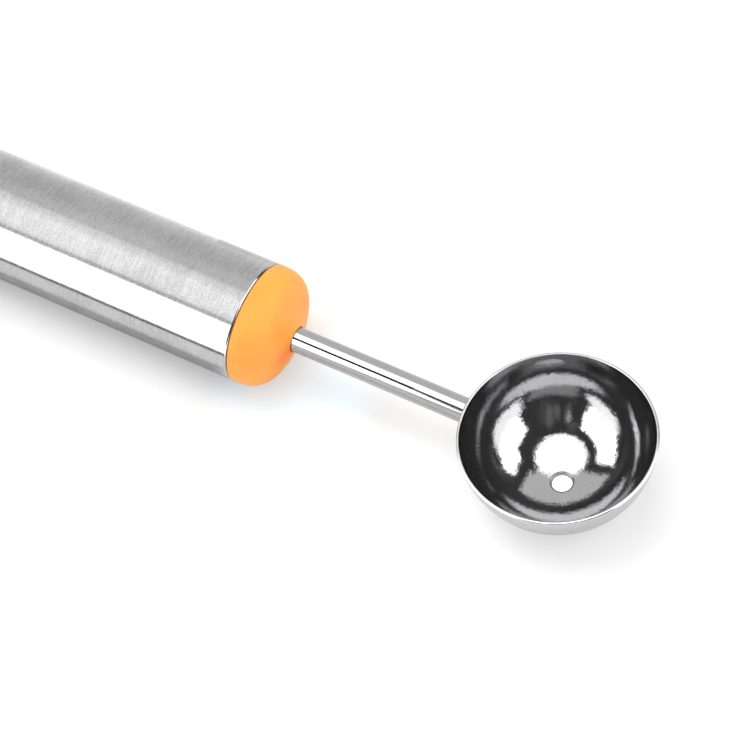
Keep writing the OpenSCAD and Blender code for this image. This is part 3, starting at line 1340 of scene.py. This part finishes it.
@dataclass
class BowlWeld(Piece):
    """The slim weld that runs round the rod on the bowl's wall.

    Its fillet reaches along the rod and out on the bowl, more below than on top, and its width wavers.
    """

    along: Pair = (0.16 * MM, 0.34 * MM)
    out: Pair = (0.14 * MM, 0.30 * MM)
    waver: Pair = (0.03, 0.1)
    waves: range = range(3, 14)
    fade: float = 0.3
    seed: int = 7
    sunk: float = 0.05 * MM
    root: float = 0.4 * MM
    root_share: float = 0.8
    knee: float = 0.02 * MM
    proud: float = 0.01 * MM
    steps: int = 144
    facets: int = 8

    def _on_ball(self, unit: Vector, radial: float, radius: float) -> Vector:
        """Gives where a line along X meets the near side of a ball about the bowl's centre.

        Args:
            unit: Direction out from the rod's axis.
            radial: The line's distance from that axis.
            radius: The ball's radius.

        Returns:
            The point.
        """
        d = self.datum
        p = unit * radial + Vector((0.0, 0.0, d.axis_z))
        return Vector((d.bowl_x - math.sqrt(radius**2 - p.y**2 - (p.z - d.bowl_z) ** 2), p.y, p.z))

    def _ring(self, angle: float, wobble: float) -> list[Vector]:
        """Draws the weld's closed section on one side of the rod.

        Args:
            angle: The side, in radians from straight up.
            wobble: How many times its usual width the weld has here.

        Returns:
            The points.
        """
        d = self.datum
        low = (1 - math.cos(angle)) / 2
        along, out = ((top + (below - top) * low) * wobble for top, below in (self.along, self.out))
        unit = Vector((0.0, math.sin(angle), math.cos(angle)))
        joint = self._on_ball(unit, d.rod_r, d.bowl_r)
        on_rod = joint + Vector((-along, 0.0, 0.0)) + unit * self.proud
        on_bowl = self._on_ball(unit, d.rod_r + out, d.bowl_r + self.proud)
        knee = joint + unit * self.knee - Vector((self.knee, 0.0, 0.0))
        shares = [k / self.facets for k in range(self.facets + 1)]
        points = [on_rod * (1 - t) ** 2 + knee * (2 * t * (1 - t)) + on_bowl * t**2 for t in shares]
        for radial in (d.rod_r + out * self.root_share, d.rod_r - self.root):
            points.append(self._on_ball(unit, radial, d.bowl_r - self.sunk))
        return [*points, on_rod - unit * self.root]

    def build(self) -> None:
        """Sweeps a concave fillet round the joint."""
        rng = np.random.default_rng(self.seed)
        waves = [(k, rng.uniform(*self.waver) / k**self.fade, rng.uniform(0, math.tau)) for k in self.waves]
        bm = bmesh.new()
        rings = []
        for i in range(self.steps):
            angle = math.tau * i / self.steps
            wobble = 1 + sum(a * math.sin(k * angle + p) for k, a, p in waves)
            rings.append([bm.verts.new(p) for p in self._ring(angle, wobble)])
        for a, b in zip(rings, rings[1:] + rings[:1]):
            for k in range(len(a)):
                on = (k + 1) % len(a)
                bm.faces.new((a[k], a[on], b[on], b[k])).smooth = True
        bmesh.ops.recalc_face_normals(bm, faces=bm.faces)
        self.show("bowl_weld_fillet", to_mesh(bm, "weld", self.finish), Slot.WELD, "bowl_weld")


@dataclass
class PushNut:
    """The pressed nut on the rod's tail, whose node keeps its shape."""

    finish: Material

    def dress(self) -> None:
        """Gives the node its finish."""
        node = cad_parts["push_nut"]
        node.data.materials.clear()
        node.data.materials.append(self.finish)
        LOG.info("push_nut: kept, %d faces", len(node.data.polygons))


# Studio


@dataclass(frozen=True)
class Panel:
    """A bright, grey or dark patch of the studio, on a map of the sky whose centre is straight up.

    Places and sizes are degrees from straight up, +X to the right and +Y up on the map. A side is a line from
    one place to another with the panel on its left. An oval has a centre and two half widths.
    """

    level: float
    sides: tuple[tuple[float, float, float, float], ...] = ()
    oval: tuple[float, float, float, float] | None = None
    hole: tuple[float, float, float, float] | None = None
    soft: float = 1.5

    def mask(self, x: Value, y: Value) -> Value:
        """Adds the panel's mask.

        Args:
            x: Map coordinate towards +X.
            y: Map coordinate towards +Y.

        Returns:
            1 on the panel and 0 off it.
        """
        edges = []
        for x0, y0, x1, y1 in self.sides:
            length = math.hypot(x1 - x0, y1 - y0)
            across, up = (y1 - y0) / length, (x0 - x1) / length
            edges.append(x * across + y * up - (across * x0 + up * y0))
        for oval, sign in ((self.oval, 1), (self.hole, -1)):
            if oval is not None:
                cx, cy, rx, ry = oval
                edges.append((squares((x - cx) / rx, (y - cy) / ry).math("SQRT") - 1) * (sign * min(rx, ry)))
        away = edges[0]
        for edge in edges[1:]:
            away = away.math("MAXIMUM", edge)
        return away.step(self.soft, -self.soft)


@dataclass(frozen=True)
class Glow:
    """A faint soft light patch on the same map, turned by some degrees and added to what is there."""

    x: float
    y: float
    across: float
    along: float
    level: float
    turn: float = 0.0
    reach: float = 1.6

    def light(self, x: Value, y: Value) -> Value:
        """Gives the patch's light at a place of the map.

        Args:
            x: Map coordinate towards +X.
            y: Map coordinate towards +Y.

        Returns:
            The light.
        """
        c, s = math.cos(math.radians(self.turn)), math.sin(math.radians(self.turn))
        east, north = x - self.x, y - self.y
        u, v = (east * c + north * s) / self.across, (north * c - east * s) / self.along
        return squares(u, v).step(self.reach, 0.0) * self.level


@dataclass(frozen=True)
class Card:
    """A glowing card beside the tool, which only polished surfaces show.

    Its profile is a row of (y, z) points, carried along X from one place to another. Its stops give the
    glow's level at places from 0 to 1 along the profile.
    """

    name: str
    x: Pair
    profile: Sequence[Pair]
    stops: Sequence[Pair]
    mottle: float = 0.0
    spots: Grain = Grain((3000.0, 9.0, 0.0))
    top_level: float = 3.0

    def build(self) -> None:
        """Builds the card and hides it from the camera and from diffuse light."""
        n = Look(self.name)
        place = n.split(n.out("ShaderNodeUVMap", uv_map="profile"))[0]
        stops = [(at, (level / self.top_level,) * 3) for at, level in self.stops]
        ramp = n.out("ShaderNodeValToRGB", {"Fac": place}, stops=stops)
        spots = n.noise(n.vector(n.split(n.place())[0], place, 0.0), self.spots)
        material = n.finish(n.glow(ramp, ((spots - 0.5) * self.mottle + 1) * self.top_level))
        bm = bmesh.new()
        places = bm.loops.layers.uv.new("profile")
        rows = [[bm.verts.new((x, y, z)) for x in self.x] for y, z in self.profile]
        share = {vert: i / (len(rows) - 1) for i, row in enumerate(rows) for vert in row}
        for low, high in zip(rows, rows[1:]):
            for loop in bm.faces.new((low[0], low[1], high[1], high[0])).loops:
                loop[places].uv = (share[loop.vert], 0.5)
        obj = add_object(self.name, to_mesh(bm, self.name, material))
        obj.visible_camera = False
        obj.visible_diffuse = False
        obj.visible_shadow = False


def round_profile(axis_z: float, radius: float, angles: Sequence[float]) -> list[Pair]:
    """Draws a card's profile on a circle about the tool's axis, cut off at the floor.

    Args:
        axis_z: Height of the axis.
        radius: The circle's radius.
        angles: Degrees from straight up, towards -Y.

    Returns:
        The (y, z) points.
    """
    turns = [math.radians(angle) for angle in angles]
    return [(-radius * math.sin(t), max(0.0, axis_z + radius * math.cos(t))) for t in turns]


@dataclass
class Studio:
    """Floor, world, cards, lamp and camera. Angles are in degrees.

    A wall is a card's y and height. A pair of radii or places is where a soft edge starts and where it ends.
    """

    azimuth: float = 32.0395
    elevation: float = 58.4970
    roll: float = -5.0931
    distance: float = 278.470 * MM
    focal_px: float = 1845.62
    aim_px: Pair = (257.843, 322.702)
    sensor: float = 36.0
    clip: Pair = (0.01, 20.0)

    key_offset: Triple = (-0.28, 0.07, 0.93)
    key_size: float = 0.7
    key_power: float = 3.2

    floor_half: float = 3.0
    floor_cells: int = 8
    floor_gap: float = 0.02 * MM
    floor_level: float = 0.8
    floor_glow: float = 0.02
    # Painted light for the camera: a pool under the vent, and patches that lighten the tube's and bowl's
    # shadows
    hole_r: Pair = (2.4 * MM, 2.0 * MM)
    tube_light_x: Pair = (46 * MM, 30 * MM)
    tube_light_level: float = 0.06
    bowl_light_at: Pair = (-6 * MM, -12 * MM)
    bowl_light_r: Pair = (34 * MM, 12 * MM)
    bowl_light_level: float = 0.14
    # Painted light: a faint cyan glow that cancels the orange light the dome throws on the floor.
    painted_cyan_at: Pair = (42.5 * MM, -4 * MM)
    painted_cyan_r: Pair = (15 * MM, 6 * MM)
    painted_cyan_level: float = 0.22
    painted_cyan_color: tuple[float, float, float, float] = (0.07, 0.68, 0.95, 1.0)
    # Seen only in reflections: a brighter far floor, a painted dark line, and painted shadow beside the tube.
    far_floor_mirror_glow: float = 1.6
    strip_y: Pair = (-46 * MM, -36 * MM)
    strip_soft: float = 1 * MM
    mirror_shadow_y: Pair = (-17.5 * MM, -14 * MM)
    mirror_shadow_share: float = 0.42
    strip_x: Pair = (32 * MM, 28 * MM)
    strip_level: float = 0.01

    arch_x: Pair = (-150 * MM, 35 * MM)
    arch_r: float = 20 * MM
    arch_steps: int = 96
    arch_levels: tuple[Pair, ...] = (
        (-119.0, 1.25),
        (-101.0, 1.2),
        (-75.5, 0.96),
        (-63.0, 0.86),
        (-50.0, 0.79),
        (-39.0, 0.75),
        (-30.0, 0.77),
        (-17.0, 0.87),
        (-6.5, 0.88),
        (-4.0, 1.15),
        (4.5, 1.33),
        (11.7, 1.6),
        (31.0, 1.58),
        (38.5, 1.42),
        (40.5, 0.85),
        (45.0, 0.8),
        (46.0, 2.4),
    )
    arch_end: float = 47.0
    back_x: Pair = (24 * MM, 68.5 * MM)
    back_wall: Pair = (8 * MM, 16.5 * MM)
    back_levels: tuple[Pair, ...] = ((0.0, 1.15), (1.0, 0.86))
    front_x: Pair = (37 * MM, 68 * MM)
    front_wall: Pair = (-12 * MM, 12.8 * MM)
    front_levels: tuple[Pair, ...] = ((0.0, 0.72), (0.4, 0.9), (0.9, 1.12), (0.93, 0.8))
    front_mottle: float = 0.9
    dark_x: Pair = (38 * MM, 61 * MM)
    dark_r: float = 4 * MM
    dark_turns: tuple[float, ...] = (22.0, 26.0, 31.0, 35.0)
    dark_levels: tuple[Pair, ...] = ((0.0, 0.02), (1.0, 0.02))

    dome_level: float = 1.18
    room_level: float = 0.05
    backdrop_level: float = 1.0
    zenith: float = 0.99999
    tiny: float = 1e-9
    panels: tuple[Panel, ...] = (
        Panel(0.93, ((9.0, 32.0, 7.5, 56.0), (-62.0, 11.0, -35.0, 11.0)), oval=(0.0, 0.0, 62.0, 62.0)),
        Panel(0.05, ((3.0, 60.0, 3.0, 0.0), (30.0, 25.5, 3.0, 30.0)), oval=(10.0, 16.0, 24.0, 24.0)),
        Panel(0.85, ((-12.0, -64.0, -60.0, -64.0), (-15.0, -90.0, -15.0, -60.0))),
        Panel(2.6, oval=(-8.3, 0.4, 25.0, 24.5)),
        Panel(
            4.8,
            ((-46.0, -2.3, -90.0, 4.0), (-15.2, -57.0, -16.5, -40.0), (-21.0, -68.0, -14.6, -56.6)),
            hole=(-8.0, -2.0, 35.5, 35.5),
        ),
        Panel(4.8, ((21.0, 44.0, 24.8, 24.0), (24.8, 24.0, 36.0, 16.5), (90.0, 60.0, 21.0, 44.0))),
        Panel(4.8, ((36.0, 16.5, 40.0, -10.0), (40.0, -10.0, 61.0, -17.0), (90.0, 60.0, 21.0, 44.0))),
    )
    glows: tuple[Glow, ...] = (
        Glow(25.0, -38.0, 5.0, 17.0, 0.13, 31.0),
        Glow(19.0, -48.0, 4.0, 12.0, 0.14, 31.0),
        Glow(3.0, -46.0, 3.0, 9.0, 0.75, 15.0),
        Glow(30.0, -42.0, 13.0, 22.0, 0.05, 31.0),
        Glow(8.0, -58.0, 5.0, 9.0, 0.12),
        Glow(-6.0, -36.0, 5.0, 8.0, 0.08),
    )

    def camera(self, aim: Vector) -> None:
        """Sets up the camera that matches the photograph.

        Args:
            aim: The point seen at aim_px, the middle of the tube's mouth.
        """
        a, e, r = (math.radians(v) for v in (self.azimuth, self.elevation, self.roll))
        back = Vector((math.sin(a) * math.cos(e), -math.cos(a) * math.cos(e), math.sin(e)))
        side = Vector((math.cos(a), math.sin(a), 0.0))
        up = back.cross(side)
        right = side * math.cos(r) + up * math.sin(r)
        top = up * math.cos(r) - side * math.sin(r)
        per_px = self.distance / self.focal_px
        place = aim + back * self.distance
        place -= right * (self.aim_px[0] - PHOTO_PX / 2) * per_px
        place += top * (self.aim_px[1] - PHOTO_PX / 2) * per_px
        data = bpy.data.cameras.new("photo camera")
        data.sensor_width = self.sensor
        data.lens = self.focal_px / PHOTO_PX * self.sensor
        data.clip_start, data.clip_end = self.clip
        obj = add_object("photo camera", data)
        obj.matrix_world = Matrix.Translation(place) @ Matrix((right, top, back)).transposed().to_4x4()
        bpy.context.scene.camera = obj

    def world(self) -> None:
        """Builds the studio round the tool: panels, a grey wall and a dim room."""
        n = Look("studio", world=True)
        x, y, z = n.split(n.place("Generated"))
        polar = z.math("MINIMUM", self.zenith).math("ARCCOSINE") * (180 / math.pi)
        flat = (squares(x, y) + self.tiny).math("SQRT")
        east, north = x / flat * polar, y / flat * polar
        level: Number = self.room_level
        for glow in self.glows:
            level = glow.light(east, north) + level
        for panel in self.panels:
            mask = panel.mask(east, north)
            level = mask * panel.level + (1 - mask) * level
        seen, mirrored = n.rays()
        strength = seen * self.backdrop_level + mirrored * level + (1 - seen - mirrored) * self.dome_level
        light = n.out("ShaderNodeBackground", {"Color": grey(1.0), "Strength": strength})
        bpy.context.scene.world = n.finish(light)

    def floor(self, vent: Vector) -> None:
        """Lays the pale floor, which keeps the tool's shadow, with painted light and painted shadow on it.

        Args:
            vent: Place of the bowl's vent; a painted pool of light under it makes the floor show bright
                through it.
        """
        n = Look("pale floor")
        seen, mirrored = n.rays()
        x, y, _ = n.split(n.place())
        # Painted light: a bright pool on the floor under the bowl's vent.
        hole = spot((x, y), (vent.x, vent.y), self.hole_r)
        # Painted light that lightens the bowl's shadow, and the tube's shadow near its front.
        bowl_light_at = (vent.x + self.bowl_light_at[0], vent.y + self.bowl_light_at[1])
        lift = spot((x, y), bowl_light_at, self.bowl_light_r) * self.bowl_light_level
        painted_tube_light = x.step(*self.tube_light_x) * self.tube_light_level
        # Painted light in reflections only: the far floor glows brighter, with a painted dark line before it.
        far, nearer = (y.step(edge + self.strip_soft, edge - self.strip_soft) for edge in self.strip_y)
        # Painted shadow beside the tube, seen only in reflections.
        near = y.step(*self.mirror_shadow_y) * self.mirror_shadow_share
        mirror_dark = (nearer * (1 - far)).math("MAXIMUM", near) * x.step(*self.strip_x) * mirrored
        strength = seen * (hole + lift + painted_tube_light + self.floor_glow) + mirrored * far * self.far_floor_mirror_glow
        # Painted light: a cyan glow against the dome's orange bounce light on the floor.
        painted_cyan = spot((x, y), self.painted_cyan_at, self.painted_cyan_r) * seen * self.painted_cyan_level
        lit = n.out("ShaderNodeBsdfDiffuse", {"Color": grey(self.floor_level)})
        for glow in (n.glow(grey(1.0), strength), n.glow(self.painted_cyan_color, painted_cyan)):
            lit = n.out("ShaderNodeAddShader", {"Shader": lit, "Shader_001": glow})
        # The black that the painted dark line and painted shadow show in reflections.
        black = n.out("ShaderNodeBsdfDiffuse", {"Color": grey(self.strip_level)})
        mixed = n.out("ShaderNodeMixShader", {"Fac": mirror_dark, "Shader": lit, "Shader_001": black})
        bm, cells = bmesh.new(), self.floor_cells
        bmesh.ops.create_grid(bm, x_segments=cells, y_segments=cells, size=self.floor_half)
        obj = add_object("floor", to_mesh(bm, "floor", n.finish(mixed)))
        obj.location.z = -self.floor_gap

    def cards(self, axis_z: float) -> None:
        """Stands the cards round the tool: an arch over the tube, and three cards beside the rod.

        Args:
            axis_z: Height of the tool's axis.
        """
        first, last = self.arch_levels[0][0], self.arch_end
        turns = [first + (last - first) * i / self.arch_steps for i in range(self.arch_steps + 1)]
        levels = [((turn - first) / (last - first), level) for turn, level in self.arch_levels]
        back, front = ([(y, 0.0), (y, top)] for y, top in (self.back_wall, self.front_wall))
        dark = round_profile(axis_z, self.dark_r, self.dark_turns)
        Card("tube arch", self.arch_x, round_profile(axis_z, self.arch_r, turns), levels).build()
        Card("rod back card", self.back_x, back, self.back_levels).build()
        Card("rod front card", self.front_x, front, self.front_levels, self.front_mottle).build()
        Card("rod dark card", self.dark_x, dark, self.dark_levels).build()

    def lamp(self, aim: Vector) -> None:
        """Hangs the soft key lamp.

        Args:
            aim: The point that it faces.
        """
        data = bpy.data.lights.new("soft key", "AREA")
        data.shape = "DISK"
        data.size = self.key_size
        data.energy = self.key_power
        obj = add_object("soft key", data)
        offset = Vector(self.key_offset)
        obj.location = aim + offset
        obj.rotation_euler = offset.to_track_quat("Z", "Y").to_euler()
        obj.visible_glossy = False

    def build(self, aim: Vector, vent: Vector) -> None:
        """Sets up the whole studio.

        Args:
            aim: The middle of the tube's mouth.
            vent: Place of the bowl's vent.
        """
        self.camera(aim)
        self.world()
        self.floor(vent)
        self.cards(aim.z)
        self.lamp(aim)
        bpy.context.scene.view_settings.view_transform = "Standard"


def main() -> None:
    """Builds the tool's pieces and the studio."""
    logging.basicConfig(level=logging.INFO, format="%(name)s %(message)s")
    datum = Datum()
    shop = Workshop()
    plastic = OrangePlastic(datum).material()
    HandleTube(shop, datum, BrushedTube().material()).build()
    FrontPlug(shop, datum, plastic).build()
    RearPlug(shop, datum, plastic).build()
    Shank(shop, datum, DrawnRod().material()).build()
    ScoopBowl(shop, datum, PolishedBowl(datum).material()).build()
    BowlWeld(shop, datum, WeldSteel().material()).build()
    PushNut(SpringSteel().material()).dress()
    Studio().build(datum.mouth, datum.vent)


if __name__ == "__main__":
    main()
